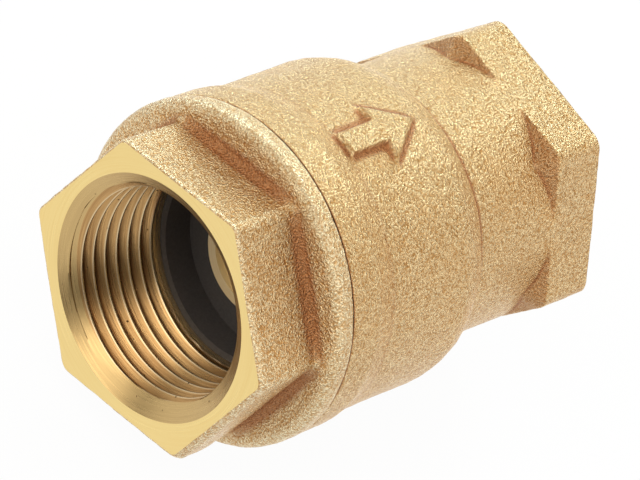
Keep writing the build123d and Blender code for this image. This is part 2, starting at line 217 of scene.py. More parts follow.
# %% The cap's cast side
INLET_HEX_R = 19.0 * MM
INLET_HEX_CORNER = 1.5 * MM
INLET_HEX_LENGTH = 11.3 * MM
HEX_ROOT_FILLET = 1.36 * MM
FLANGE_EDGE = 1.4 * MM
SEAM_BREAK = 0.25 * MM
CAP_CROWDING = 0.4
FULL_BY = ((0.0, 0.2), (0.15, 0.44), (0.5, 0.54), (2.4, 0.5), (5.0, 0.42), (9.94, 0.3))
OFF_CENTRE = 0.28 * MM
OFF_CENTRE_ANGLE = radians(150)
SWOLLEN_BY = ((0.0, 0.0), (1.2, 0.65), (5.0, 0.65), (9.94, 0.0))
SWOLLEN_ANGLE = radians(228)
HEX_ROWS, FLANGE_ROWS, RIM_ROWS = 29, 20, 7
ROWS_TO_FACE = 1.3
ROOT_SOFTNESS = 0.5 * MM
RIM_SOFTNESS = 0.2 * MM

cap_angles = column_angles(CAP_CROWDING)
flange_x = INLET_X + INLET_HEX_LENGTH
hex_end_x = flange_x - HEX_ROOT_FILLET
hex_end_full = FULL_BY[-1][1] * MM
hex_x = INLET_X + (hex_end_x - INLET_X) * np.linspace(0, 1, HEX_ROWS)[:, None] ** ROWS_TO_FACE


def along_hexagon(table):
    """A table of (distance from the face, size) in mm, read at each row of the hexagon."""
    places, sizes = np.array(table).T * MM
    return np.interp(hex_x - INLET_X, places, sizes)


cap_hex_r = hexagon_r(cap_angles, INLET_HEX_R, INLET_HEX_CORNER)
cap_hex_r = cap_hex_r + OFF_CENTRE * np.cos(cap_angles - OFF_CENTRE_ANGLE)
swollen_side = np.maximum(np.cos(cap_angles - SWOLLEN_ANGLE), 0) ** 2
swelling = along_hexagon(SWOLLEN_BY) * swollen_side
hex_side = place(hex_x, cap_hex_r + along_hexagon(FULL_BY) + swelling, cap_angles)


def flange_section(hex_r):
    """From the hexagon's root, round the fillet and up the flange to its rim, at one angle."""
    root = arc(hex_end_x, hex_r + HEX_ROOT_FILLET, HEX_ROOT_FILLET, -90, 0)
    edge = arc(flange_x + FLANGE_EDGE, FLANGE_R - FLANGE_EDGE, FLANGE_EDGE, 180, 90)
    return soften(root + edge, ROOT_SOFTNESS)


sections = [spread(flange_section(r + hex_end_full), FLANGE_ROWS) for r in cap_hex_r]
flange_front = np.stack(sections, axis=1)
flange_front = place(flange_front[..., 0], flange_front[..., 1], cap_angles)
rim = soften([
    (flange_x + FLANGE_EDGE, FLANGE_R),
    (SEAM_X - SEAM_BREAK, FLANGE_R),
    (SEAM_X, FLANGE_R - SEAM_BREAK),
], RIM_SOFTNESS)
rim = spread(rim, RIM_ROWS)
flange_rim = place(rim[:, :1], rim[:, 1:], cap_angles)

cap_side = np.concatenate([hex_side, flange_front[1:], flange_rim[1:]])
cap_hollows = hollows(cap_side)
cap_hollows[-1] = SEAM_MARK
cap_side = cast_relief(cap_side)
print("cap side:", cap_side.shape[0], "rows of", COLUMNS, "columns")

# %% [markdown]
# ## Helpers for node trees
#
# A pipe thread, a closed spring and the grain of a metal each follow a rule. A node tree holds such a
# rule and keeps it open to changes, where a loop over vertices would only leave its result. These
# helpers add a node, set or link its inputs and hand back its outputs, so a rule reads as arithmetic.

# %% Helpers for node trees
def add_inputs(tree, inputs):
    """Adds a group's inputs, each with its value, and hands them back to link from."""
    for name, value in inputs.items():
        kind = {float: "Float", int: "Int"}.get(type(value), name)
        socket = tree.interface.new_socket(name, in_out="INPUT", socket_type="NodeSocket" + kind)
        if value is not None:
            socket.default_value = value
    return tree.nodes.new("NodeGroupInput").outputs


def add_outputs(tree, *names):
    """Adds a group's outputs and hands them back to feed."""
    for name in names:
        kind = "Geometry" if name == "Geometry" else "Float"
        tree.interface.new_socket(name, in_out="OUTPUT", socket_type="NodeSocket" + kind)
    return tree.nodes.new("NodeGroupOutput").inputs


def feed(socket, value):
    """Sets a socket to a value, or links it to another node's output."""
    if isinstance(value, bpy.types.NodeSocket):
        socket.id_data.links.new(value, socket)
    else:
        socket.default_value = value


def add_node(tree, kind, values=(), **settings):
    """Adds a node and returns its outputs. `values` maps its inputs to values or outputs."""
    node = tree.nodes.new(kind)
    for name, setting in settings.items():
        setattr(node, name, setting)
    for key, value in dict(values).items():
        feed(node.inputs[key], value)
    return node.outputs


def calc(operation, *values, clamp=False):
    """The output of one Math node, in the tree that its values come from."""
    tree = next(v.id_data for v in values if isinstance(v, bpy.types.NodeSocket))
    return add_node(tree, "ShaderNodeMath", enumerate(values), operation=operation, use_clamp=clamp)[0]


plus, minus, times, over = (partial(calc, kind) for kind in ("ADD", "SUBTRACT", "MULTIPLY", "DIVIDE"))


def parts_of(vector):
    """The X, Y and Z of a vector."""
    return add_node(vector.id_data, "ShaderNodeSeparateXYZ", {0: vector})


def vector_of(x, y, z):
    """A vector from three values."""
    return add_node(x.id_data, "ShaderNodeCombineXYZ", {"X": x, "Y": y, "Z": z})[0]


# %% Helpers for geometry
def add_object(name, data):
    """A new object in the scene."""
    made = bpy.data.objects.new(name, data)
    bpy.context.scene.collection.objects.link(made)
    return made


def hand_over(tree, shape, material):
    """Gives the shape its material and makes it the tree's output."""
    shape = add_node(tree, "GeometryNodeRealizeInstances", {"Geometry": shape})[0]
    shape = add_node(tree, "GeometryNodeSetMaterial", {"Geometry": shape, "Material": material})[0]
    feed(add_outputs(tree, "Geometry")[0], shape)


def run_nodes(name, tree, settings):
    """The mesh that a Geometry Nodes tree makes with these inputs, as plain data."""
    carrier = add_object(name, bpy.data.meshes.new(name))
    modifier = carrier.modifiers.new(name, "NODES")
    modifier.node_group = tree
    for socket in tree.interface.items_tree:
        if socket.item_type == "SOCKET" and socket.in_out == "INPUT" and socket.name in settings:
            modifier[socket.identifier] = settings[socket.name]
    bpy.context.view_layer.update()
    evaluated = carrier.evaluated_get(bpy.context.evaluated_depsgraph_get())
    mesh = bpy.data.meshes.new_from_object(evaluated)
    carrier.modifiers.remove(modifier)
    bpy.data.objects.remove(carrier)
    return mesh


# %% [markdown]
# ## The pipe thread, made by a rule
#
# A taper pipe thread has a pitch of 2.209 mm and sloping flanks. It could be swept along a helix, but
# its ends would then need trimming. Here a flat grid is wrapped round the axis, and each turn of it
# moves along by one pitch. The rows lie along the crests and roots and crowd together there, so these
# stay crisp with few faces, and the end rows meet the casting's own columns. The wide chamfer at the
# mouth and the narrow throat cut the thread short.

# %% The pipe thread's sizes
PORT_CREST_R = 15.0 * MM
MOUTH_R = 17.6 * MM
MOUTH_DEPTH = 1.7 * MM
THREAD_PITCH = 2.209 * MM
THREAD_RUN_OUT = 0.5 * MM
INLET_THREAD_END = 16.1 * MM
PASSAGE_R = 14.2 * MM
THREAD_DEPTH = 1.2 * MM
THREAD_FADE = 1.3 * MM
THREAD_PHASE = -0.19
THREAD_ROWS = 16
STEEPEST_THROAT = 1.5
ROW_CROWDING = 0.36
CREST_FLAT = 2 / THREAD_ROWS - ROW_CROWDING * sin(pi / 4) / (2 * pi)
THREAD_INPUTS = {
    "Face X": 0.0,
    "Direction": 1.0,
    "Columns": COLUMNS,
    "Crowding": 0.0,
    "Pitch": THREAD_PITCH,
    "Turns": 10,
    "Rows per Turn": THREAD_ROWS,
    "Row Offset": 0.0,
    "Row Crowding": ROW_CROWDING,
    "Phase": THREAD_PHASE,
    "Flat": CREST_FLAT,
    "Crest Radius": PORT_CREST_R,
    "Depth": THREAD_DEPTH,
    "Mouth Radius": MOUTH_R,
    "Mouth Depth": MOUTH_DEPTH,
    "Thread End": INLET_THREAD_END,
    "Fade": THREAD_FADE,
    "Run-out": THREAD_RUN_OUT,
    "Throat Radius": PASSAGE_R,
    "Weld": 0.001 * MM,
    "Material": None,
}
print("thread:", round(THREAD_DEPTH / MM, 2), "mm deep, a turn every", round(THREAD_PITCH / MM, 3), "mm")


# %% Where each point of the thread lies
def thread_angle(size, across):
    """Each column's angle, crowded like the columns of the casting."""
    even = times(plus(across, 0.5), 2 * pi)
    waves = calc("SINE", times(even, 6))
    crowd = times(waves, size["Crowding"])
    return plus(even, over(crowd, 6))


def thread_phase(size, along, rows):
    """How many turns each row lies from the first, crowded at the crests and roots."""
    row = times(plus(along, 0.5), rows)
    row = plus(row, size["Row Offset"])
    even = over(row, size["Rows per Turn"])
    waves = calc("SINE", times(even, 4 * pi))
    crowd = times(waves, size["Row Crowding"])
    return minus(even, over(crowd, 4 * pi))


def thread_depth(size, angle, phase, end):
    """How far behind the face each point lies: once round the axis is one pitch further."""
    turned = minus(over(angle, 2 * pi), 0.5)
    handed = times(turned, times(size["Direction"], -1))
    started = minus(plus(phase, size["Phase"]), 1)
    pitches = plus(started, handed)
    depth = calc("MAXIMUM", times(pitches, size["Pitch"]), 0)
    return calc("MINIMUM", depth, end)


# %% How wide the thread is there
def thread_cut(size, phase, depth):
    """How deep the cutter has gone: nothing at a crest, all at a root, and less near the end."""
    crest_and_root = calc("MULTIPLY_ADD", calc("FRACT", phase), 2, -1)
    crest_and_root = calc("ABSOLUTE", crest_and_root)
    flank = calc("MULTIPLY_ADD", size["Flat"], -2, 1)
    root = minus(crest_and_root, size["Flat"])
    root = minus(1, over(root, flank, clamp=True))
    fade = minus(size["Thread End"], depth)
    fade = over(fade, size["Fade"], clamp=True)
    return times(times(root, fade), size["Depth"])


def bore_radius(size, cut, depth, end):
    """The thread's radius, wider in the chamfer at the mouth and narrower at the throat."""
    thread_r = plus(size["Crest Radius"], cut)
    flare = minus(size["Mouth Radius"], size["Crest Radius"])
    flare = over(flare, size["Mouth Depth"])
    mouth_r = minus(size["Mouth Radius"], times(depth, flare))
    narrowing = minus(size["Crest Radius"], size["Throat Radius"])
    narrowing = over(narrowing, size["Run-out"])
    narrowing = calc("MAXIMUM", narrowing, STEEPEST_THROAT)
    to_end = times(minus(end, depth), narrowing)
    throat_r = plus(size["Throat Radius"], to_end)
    return calc("MINIMUM", calc("MAXIMUM", thread_r, mouth_r), throat_r)


# %% The pipe thread's tree
def pipe_thread_tree():
    """A threaded bore from its mouth to its throat, wrapped from a flat grid."""
    tree = bpy.data.node_groups.new("pipe_thread", "GeometryNodeTree")
    size = add_inputs(tree, THREAD_INPUTS)
    rows = times(size["Turns"], size["Rows per Turn"])
    grid = add_node(tree, "GeometryNodeMeshGrid", {
        "Size X": 1.0,
        "Size Y": 1.0,
        "Vertices X": plus(size["Columns"], 1),
        "Vertices Y": plus(rows, 1),
    })["Mesh"]
    flat = parts_of(add_node(tree, "GeometryNodeInputPosition")[0])
    angle = thread_angle(size, flat["X"])
    phase = thread_phase(size, flat["Y"], rows)
    end = plus(size["Thread End"], size["Run-out"])
    depth = thread_depth(size, angle, phase, end)
    r = bore_radius(size, thread_cut(size, phase, depth), depth, end)
    x = plus(size["Face X"], times(depth, size["Direction"]))
    wrapped = vector_of(x, times(r, calc("SINE", angle)), times(r, calc("COSINE", angle)))
    bore = add_node(tree, "GeometryNodeSetPosition", {"Geometry": grid, "Position": wrapped})[0]
    values = {"Geometry": bore, "Distance": size["Weld"]}
    hand_over(tree, add_node(tree, "GeometryNodeMergeByDistance", values)[0], size["Material"])
    return tree


thread_tree = pipe_thread_tree()
print("pipe thread tree:", len(thread_tree.nodes), "nodes")

# %% [markdown]
# ## Effects that several materials share
#
# Sand-cast grain, tool marks and small pits are each one node group. A material places the group
# with its own sizes, and keeps its own shader.

# %% Sand grain
def noise_value(vector, scale, detail=2.0, roughness=0.5):
    """The value of one Noise node. The scale is in waves to the metre."""
    values = {"Vector": vector, "Scale": scale, "Detail": detail, "Roughness": roughness}
    return add_node(vector.id_data, "ShaderNodeTexNoise", values)[0]


def sand_grain_group():
    """Sand-cast skin: grains and clumps as a height, and soft stains as a mask."""
    tree = bpy.data.node_groups.new("sand_grain", "ShaderNodeTree")
    size = add_inputs(tree, {"Vector": None, "Grain": 3200.0, "Clump": 1300.0, "Stain": 110.0})
    ends = add_outputs(tree, "Height", "Stain")
    grain = noise_value(size["Vector"], size["Grain"], detail=3.0, roughness=0.62)
    clump = noise_value(size["Vector"], size["Clump"], detail=2.0, roughness=0.55)
    stain = noise_value(size["Vector"], size["Stain"], detail=4.0, roughness=0.6)
    cells = add_node(tree, "ShaderNodeTexVoronoi", {"Vector": size["Vector"], "Scale": size["Grain"]})
    sand = calc("MULTIPLY_ADD", cells["Distance"], -0.3, 0.3)
    height = calc("MULTIPLY_ADD", grain, 0.72, calc("MULTIPLY_ADD", clump, 0.24, sand))
    feed(ends["Height"], height)
    feed(ends["Stain"], stain)
    return tree


sand_grain = sand_grain_group()
print("sand grain:", len(sand_grain.nodes), "nodes")

# %% Tool marks
RING_WANDER = 1.4


def tool_marks_group():
    """Turned rings: fine lines that follow the radius on a face, or the length of a bore."""
    tree = bpy.data.node_groups.new("tool_marks", "ShaderNodeTree")
    size = add_inputs(tree, {"Vector": None, "Rings": 5200.0, "Facing": 1.0, "Smear": 55.0})
    ends = add_outputs(tree, "Height", "Sweep", "Radius")
    parts = parts_of(size["Vector"])
    r = calc("SQRT", plus(calc("POWER", parts["Y"], 2), calc("POWER", parts["Z"], 2)))
    on_face = times(r, size["Facing"])
    on_bore = times(parts["X"], minus(1, size["Facing"]))
    along = plus(on_face, on_bore)
    turn = calc("ARCTAN2", parts["Y"], parts["Z"])
    y, z = (times(calc(kind, turn), RING_WANDER) for kind in ("SINE", "COSINE"))
    ring = vector_of(times(along, size["Rings"]), y, z)
    feed(ends["Height"], noise_value(ring, 1.0, detail=3.0, roughness=0.7))
    feed(ends["Sweep"], noise_value(size["Vector"], size["Smear"], detail=3.0))
    feed(ends["Radius"], r)
    return tree


tool_marks = tool_marks_group()
print("tool marks:", len(tool_marks.nodes), "nodes")

# %% Pits
PIT_SHARE = 0.28
PIT_EDGE = 14.0


def pits_group():
    """Small open pores of cast metal, as a mask that is 1 in a pore."""
    tree = bpy.data.node_groups.new("pits", "ShaderNodeTree")
    size = add_inputs(tree, {"Vector": None, "Spacing": 700.0, "Width": 0.12})
    ends = add_outputs(tree, "Pits")
    cells = add_node(tree, "ShaderNodeTexVoronoi", {"Vector": size["Vector"], "Scale": size["Spacing"]})
    chance = parts_of(cells["Color"])["X"]
    width = times(size["Width"], calc("GREATER_THAN", chance, 1 - PIT_SHARE))
    inside = minus(width, cells["Distance"])
    feed(ends["Pits"], times(inside, PIT_EDGE, clamp=True))
    return tree


pits = pits_group()
print("pits:", len(pits.nodes), "nodes")

# %% [markdown]
# ## Materials
#
# Bronze and brass are metals: their colour is the colour of what they reflect. A crease reflects
# itself, so it turns a deeper red-brown, and the cast bronze paints more shade into it besides. The
# grain breaks the reflection into sparkles. Each material below starts from one Principled shader and
# adds only what it needs.

# %% Helpers for materials
def new_material(name, base, metallic, roughness):
    """A material with a Principled shader. Returns the material, the shader and each place."""
    material = bpy.data.materials.new(name)
    material.use_nodes = True
    tree = material.node_tree
    shader = tree.nodes["Principled BSDF"]
    shader.inputs["Base Color"].default_value = (*base, 1)
    shader.inputs["Metallic"].default_value = metallic
    shader.inputs["Roughness"].default_value = roughness
    where = add_node(tree, "ShaderNodeTexCoord")["Object"]
    return material, shader, where


def use_group(group, where, **values):
    """Places a shared effect in a material."""
    return add_node(where.id_data, "ShaderNodeGroup", {"Vector": where, **values}, node_tree=group)


def mix_colors(factor, first, second):
    """A blend of two colours. Each is a colour or another node's output."""
    node = factor.id_data.nodes.new("ShaderNodeMix")
    node.data_type = "RGBA"
    for name, kind, value in (("Factor", "VALUE", factor), ("A", "RGBA", first), ("B", "RGBA", second)):
        socket = next(s for s in node.inputs if s.name == name and s.type == kind)
        feed(socket, (*value, 1) if isinstance(value, tuple) else value)
    return next(s for s in node.outputs if s.type == "RGBA")


def remap(value, low, high, to_low=0.0, to_high=1.0):
    """The value stretched from one range to another, and held inside it."""
    values = {"Value": value, "From Min": low, "From Max": high, "To Min": to_low, "To Max": to_high}
    return add_node(value.id_data, "ShaderNodeMapRange", values)[0]


def dress(shader, color, roughness, height=None, depth=0.0):
    """Feeds a shader's colour, roughness and bump. The depth is what a height of 1 stands for."""
    feed(shader.inputs["Base Color"], color)
    feed(shader.inputs["Roughness"], roughness)
    if height is not None:
        values = {"Height": height, "Distance": depth, "Strength": 1.0}
        feed(shader.inputs["Normal"], add_node(height.id_data, "ShaderNodeBump", values)[0])


# %% [markdown]
# ## Cast bronze
#
# The sand leaves a skin of grains a few tenths of a millimetre wide. Their tops are rubbed pale and
# the hollows between them keep their tarnish, so the colour follows the height; the same contrast
# also paints shade between the grains and a highlight on their tops. The creases get a painted
# red-brown shade, the raised edges a painted pale highlight, and the seam row is painted near-black:
# the grid's own hollows say where. An image could hold all this, but it would need unwrapping, and a
# rule has no seams. The cap and the body are two castings with slightly different tones, so the tones
# are arguments.

# %% Cast bronze
STAINED = (0.78, 0.48, 0.2)
PAINTED_CREASE_SHADE = (0.44, 0.19, 0.075)
PAINTED_EDGE_HIGHLIGHT = (1.0, 0.9, 0.62)
SEAM_BLACK = (0.05, 0.025, 0.012)


def cast_bronze(name, low, peak):
    """Sand-cast bronze, from the tone between the grains to the tone of their tops."""
    material, shader, where = new_material(name, (0.84, 0.58, 0.3), 1.0, 0.34)
    skin = use_group(sand_grain, where)
    hollow = add_node(where.id_data, "ShaderNodeAttribute", attribute_name="hollow")["Fac"]
    peaks = remap(skin["Height"], 0.5, 0.82)
    # Painted highlight: ridges and raised edges turn pale where the grains stand high.
    ridge = remap(hollow, -0.1, -0.8)
    ridge = times(ridge, remap(peaks, 0.2, 1.0, 0.12, 0.6))
    # Tone by grain height: tarnish between the grains, plus painted shade there and a painted highlight
    # on their tops.
    color = mix_colors(peaks, low, peak)
    color = mix_colors(remap(skin["Stain"], 0.42, 0.66, 0.0, 0.2), color, STAINED)
    # Painted shade: the creases turn red-brown by how hollow they are.
    color = mix_colors(remap(hollow, 0.06, 0.75, 0.0, 0.9), color, PAINTED_CREASE_SHADE)
    color = mix_colors(ridge, color, PAINTED_EDGE_HIGHLIGHT)
    # The seam rows are painted near-black.
    color = mix_colors(remap(hollow, 1.0, 1.5), color, SEAM_BLACK)
    dress(shader, color, remap(skin["Height"], 0.5, 0.85, 0.34, 0.2), skin["Height"], 0.5 * MM)
    return material


cap_bronze = cast_bronze("cap_bronze", (0.58, 0.31, 0.1), (1.0, 0.88, 0.58))
body_bronze = cast_bronze("body_bronze", (0.5, 0.26, 0.08), (1.0, 0.8, 0.46))
print("castings:", cap_bronze.name, body_bronze.name)

# %% [markdown]
# ## Cut and turned metal
#
# A tool leaves fine rings, by the radius on a face and along the length of a bore. One function makes
# all cut metals, with its own numbers for each. The inlet's thread also gets painted shade in its
# roots, a painted highlight on its crests and a cleaner chamfer. The radius tells these apart, so no
# mask is painted.

# %% Cut and turned metal
PAINTED_ROOT_SHADE = (0.13, 0.065, 0.03)
PAINTED_CREST_HIGHLIGHT = (1.0, 0.84, 0.54)
CLEAN_CHAMFER = (0.62, 0.45, 0.2)


def thread_painted_light(color, radius, where):
    """A cut thread's colour: painted shade in its roots, a painted highlight on its crests, and a clean
    chamfer at the mouth.
    """
    x = calc("ABSOLUTE", parts_of(where)["X"])
    in_thread = calc("LESS_THAN", x, OUTLET_X - MOUTH_DEPTH)
    root_r = PORT_CREST_R + THREAD_DEPTH
    root_shade = remap(radius, root_r - 0.34 * MM, root_r - 0.04 * MM, 0.0, 0.85)
    crest = remap(radius, PORT_CREST_R + 0.2 * MM, PORT_CREST_R + 0.04 * MM, 0.0, 0.55)
    clean = times(minus(1, in_thread), 0.7)
    # Painted shade in the thread's roots.
    color = mix_colors(times(root_shade, in_thread), color, PAINTED_ROOT_SHADE)
    # Painted highlight along the thread's crests.
    color = mix_colors(times(crest, in_thread), color, PAINTED_CREST_HIGHLIGHT)
    return mix_colors(clean, color, CLEAN_CHAMFER)


def machined(name, base, dark, roughness, rings, facing, marks, pores=0.0, threaded=False):
    """Turned metal: fine rings, soft tarnish and a few open pores."""
    material, shader, where = new_material(name, base, 1.0, roughness)
    turned = use_group(tool_marks, where, Rings=rings, Facing=facing)
    pore = use_group(pits, where)["Pits"]
    color = mix_colors(remap(turned["Height"], 0.3, 0.7), dark, base)
    color = mix_colors(remap(turned["Sweep"], 0.3, 0.7, 0.0, 0.5), color, base)
    if threaded:
        color = thread_painted_light(color, turned["Radius"], where)
    in_pore = tuple(0.3 * c for c in dark)
    color = mix_colors(times(pore, pores), color, in_pore)
    dull = remap(turned["Height"], 0.3, 0.7, roughness + 0.06, roughness - 0.04)
    height = minus(turned["Height"], times(pore, 2 * pores))
    dress(shader, color, dull, height, marks)
    return material


face_brass = machined("machined_face", (0.91, 0.7, 0.3), (0.86, 0.63, 0.25), roughness=0.3,
                      rings=5200, facing=1.0, marks=0.005 * MM, pores=0.5)
bore_brass = machined("cut_thread", (0.6, 0.37, 0.15), (0.3, 0.15, 0.055), roughness=0.28,
                      rings=9000, facing=0.0, marks=0.03 * MM, pores=0.9, threaded=True)
turned_brass = machined("turned_brass", (1.0, 0.86, 0.55), (0.95, 0.76, 0.45), roughness=0.6,
                        rings=4200, facing=1.0, marks=0.02 * MM)
steel = machined("stainless_steel", (0.62, 0.61, 0.6), (0.5, 0.49, 0.48), roughness=0.3,
                 rings=5200, facing=1.0, marks=0.006 * MM)
print("cut metals:", face_brass.name, bore_brass.name, turned_brass.name, steel.name)

# %% [markdown]
# ## Rubber, plastic and wire
#
# The disc, the seal rings and the guide's bush are moulded, with an even, dull skin. A flat colour
# would look painted, so a very fine noise varies it. The spring is drawn wire, which is bright.

# %% Rubber, plastic and wire
def soft_matt(name, base, roughness, grain, height):
    """A moulded rubber or plastic: an even colour with a fine dull skin."""
    material, shader, where = new_material(name, base, 0.0, roughness)
    skin = noise_value(where, grain, detail=3.0, roughness=0.6)
    color = mix_colors(remap(skin, 0.35, 0.7), base, tuple(1.25 * c for c in base))
    dull = remap(skin, 0.3, 0.7, roughness + 0.05, roughness - 0.05)
    dress(shader, color, dull, skin, height)
    return material


def drawn_wire():
    """Stainless spring wire: a bright drawn skin with faint lines."""
    material, shader, where = new_material("drawn_wire", (0.66, 0.65, 0.64), 1.0, 0.24)
    lines = noise_value(where, 6000)
    color = mix_colors(remap(lines, 0.3, 0.7), (0.56, 0.55, 0.54), (0.72, 0.71, 0.7))
    dress(shader, color, remap(lines, 0.3, 0.7, 0.3, 0.2))
    return material


disc_plastic = soft_matt("disc_plastic", (0.06, 0.052, 0.047), 0.6, 2600, 0.01 * MM)
seal_rubber = soft_matt("seal_rubber", (0.06, 0.052, 0.048), 0.65, 2600, 0.02 * MM)
acetal = soft_matt("acetal", (0.62, 0.6, 0.54), 0.4, 1800, 0.01 * MM)
wire = drawn_wire()
print("soft parts and wire:", disc_plastic.name, seal_rubber.name, acetal.name, wire.name)

# %% [markdown]
# ## Welding the parts of a skin
#
# A skin is made of grids that share their end rows, and of a thread from Geometry Nodes. They are
# put into one mesh and their doubles are merged, which closes it. Boolean cuts would give the same
# shape with ragged faces. Edges sharper than the rounding of a casting are marked, so that smooth
# shading stops there.

# %% Welding
SHARP = radians(32)
SAME_PLACE = 0.002 * MM
CAST, FACED, BORED = 0, 1, 2


def grid_mesh(points):
    """A mesh of quads on rows and columns, closed round its columns."""
    rows, columns = points.shape[:2]
    row, column = np.meshgrid(np.arange(rows - 1), np.arange(columns), indexing="ij")
    after = (column + 1) % columns
    here, below = row * columns, (row + 1) * columns
    corners = (here + column, here + after, below + after, below + column)
    quads = np.stack(corners, axis=-1).reshape(-1, 4)
    mesh = bpy.data.meshes.new("grid")
    mesh.from_pydata(points.reshape(-1, 3).tolist(), [], quads.tolist())
    return mesh


def weld(name, skins, materials):
    """One closed object from several skins, each given as (mesh, material's place, hollows or None)."""
    shape = bmesh.new()
    layer = shape.verts.layers.float.new("hollow")
    for mesh, place_in_list, hollow in skins:
        first_vertex, first_face = len(shape.verts), len(shape.faces)
        shape.from_mesh(mesh)
        shape.verts.ensure_lookup_table()
        shape.faces.ensure_lookup_table()
        for face in shape.faces[first_face:]:
            face.material_index = place_in_list
            face.smooth = True
        if hollow is not None:
            for vertex, value in zip(shape.verts[first_vertex:], hollow.ravel()):
                vertex[layer] = value
    bmesh.ops.remove_doubles(shape, verts=shape.verts, dist=SAME_PLACE)
    bmesh.ops.recalc_face_normals(shape, faces=shape.faces)
    open_edges = sum(not edge.is_manifold for edge in shape.edges)
    for edge in shape.edges:
        one_finish = len({face.material_index for face in edge.link_faces}) == 1
        edge.smooth = edge.is_manifold and one_finish and edge.calc_face_angle() < SHARP
    mesh = bpy.data.meshes.new(name)
    for material in materials:
        mesh.materials.append(material)
    shape.to_mesh(mesh)
    shape.free()
    piece = add_object(name, mesh)
    triangles = sum(len(face.vertices) - 2 for face in mesh.polygons)
    print(name, "has", triangles, "triangles and", open_edges, "open edges")
    return piece


# %% Turned skins
def ring_between(inner, outer, rows):
    """Rows of a flat ring from one circle of points to another."""
    share = np.linspace(0, 1, rows)[:, None, None]
    return inner + (outer - inner) * share


def bored(section, angles, first_row=None, last_row=None):
    """A turned skin: the section's corners as rows. Its end rows may be given, to meet a cast skin."""
    corners = np.array(section)
    points = place(corners[:, :1], corners[:, 1:], angles)
    if first_row is not None:
        points[0] = first_row
    if last_row is not None:
        points[-1] = last_row
    return points


# %% [markdown]
# ## The end cap
#
# The cast side, the machined face, the thread and the turned back make one closed skin. The back is
# hidden in the body: a groove for the seal ring, the threaded spigot and a counterbore, which holds
# the rubber seat ring just past the thread's end. Being black, that ring also stands in for painted
# shade deep in the throat.

# %% The end cap's cut parts
SEAT_RING_CLEARANCE = 0.05 * MM
SEAT_RING_X = seat_ring_low.x - SEAT_RING_CLEARANCE
SEAT_RING_BORE_R = seat_ring_high.z + SEAT_RING_CLEARANCE
SEAL_GROOVE_R = 18.6 * MM
SEAL_GROOVE_WIDTH = 2.3 * MM
SPIGOT_R = 20.35 * MM
SPIGOT_LEAD = 0.8 * MM
FACE_ROWS = 5

mouth_circle = place(INLET_X, MOUTH_R, cap_angles)
cap_face = ring_between(mouth_circle, cap_side[0], FACE_ROWS)
cap_thread = run_nodes("inlet_thread", thread_tree, {
    "Face X": INLET_X,
    "Direction": 1.0,
    "Crowding": CAP_CROWDING,
    "Thread End": INLET_THREAD_END,
    "Run-out": SEAT_RING_X - INLET_X - INLET_THREAD_END,
    "Throat Radius": PORT_CREST_R,
    "Material": bore_brass,
})
cap_back = bored([
    (SEAM_X, FLANGE_R - SEAM_BREAK),
    (SEAM_X, SEAL_GROOVE_R),
    (SEAM_X + SEAL_GROOVE_WIDTH, SEAL_GROOVE_R),
    (SEAM_X + SEAL_GROOVE_WIDTH, SPIGOT_R),
    (SPIGOT_END_X - SPIGOT_LEAD, SPIGOT_R),
    (SPIGOT_END_X, SPIGOT_R - SPIGOT_LEAD),
    (SPIGOT_END_X, SEAT_RING_BORE_R),
    (SEAT_RING_X, SEAT_RING_BORE_R),
    (SEAT_RING_X, PORT_CREST_R),
], cap_angles, first_row=cap_side[-1])
back_hollows = np.zeros(cap_back.shape[:2])
back_hollows[0] = SEAM_MARK
print("inlet thread:", len(cap_thread.polygons), "faces")

# %% The end cap
INLET_HEX_TURN = radians(17.3)

cap = weld("cap_casting", (
    (grid_mesh(cap_side), CAST, cap_hollows),
    (grid_mesh(cap_face), FACED, None),
    (cap_thread, BORED, None),
    (grid_mesh(cap_back), BORED, back_hollows),
), (cap_bronze, face_brass, bore_brass))
cap.data.transform(Matrix.Rotation(-INLET_HEX_TURN, 4, "X"))
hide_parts("end_cap")
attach(cap, "housing")

# %% [markdown]
# ## The body's cast side
#
# From the seam the body has a collar, a slightly narrower barrel, a rounded shoulder and a neck.
# The hexagon at the outlet rises from the neck in six steps, which are highest at the corners and
# vanish on the flats. So each column has its own section there, and all sections get as many rows.

# %% The barrel
COLLAR_R = FLANGE_R - 0.1 * MM
COLLAR_LENGTH = 5.2 * MM
COLLAR_TAPER = 3.4 * MM
BARREL_R = COLLAR_R - 0.8 * MM
SHOULDER_LENGTH = 6.6 * MM
SHOULDER_LAND = 0.9 * MM
CLIP_CLEARANCE = 0.05 * MM
NECK_R = 20.1 * MM
NECK_X = clip_high.x + CLIP_CLEARANCE + SHOULDER_LAND
OUTLET_HEX_LENGTH = 8.8 * MM
STEP_TOP = 0.5 * MM
STEP_REACH = 2.7 * MM
STEP_TOP_X = OUTLET_X - OUTLET_HEX_LENGTH + STEP_TOP
STEP_START_X = STEP_TOP_X - STEP_REACH
BARREL_ROWS = 118
BARREL_SOFTNESS = 0.7 * MM
CORNER_GAP = 0.01 * MM

body_angles = column_angles(crowding=0.0)
barrel_start_x = SEAM_X + COLLAR_LENGTH + COLLAR_TAPER
barrel_end_x = NECK_X - SHOULDER_LENGTH
shoulder_drop = BARREL_R - NECK_R
shoulder_r = (SHOULDER_LENGTH**2 + shoulder_drop**2) / (2 * shoulder_drop)
shoulder_turn = np.degrees(np.arcsin(SHOULDER_LENGTH / shoulder_r))
barrel_section = (
    [(SEAM_X, COLLAR_R - SEAM_BREAK), (SEAM_X + SEAM_BREAK, COLLAR_R)]
    + [(SEAM_X + COLLAR_LENGTH, COLLAR_R), (barrel_start_x, BARREL_R)]
    + arc(barrel_end_x, BARREL_R - shoulder_r, shoulder_r, 90, 90 - shoulder_turn, 24)
    + [(NECK_X + CORNER_GAP, NECK_R), (STEP_START_X, NECK_R)]
)
barrel_rows = spread(soften(barrel_section, BARREL_SOFTNESS), BARREL_ROWS)
row_step = (STEP_START_X - SEAM_X) / (BARREL_ROWS - 1)
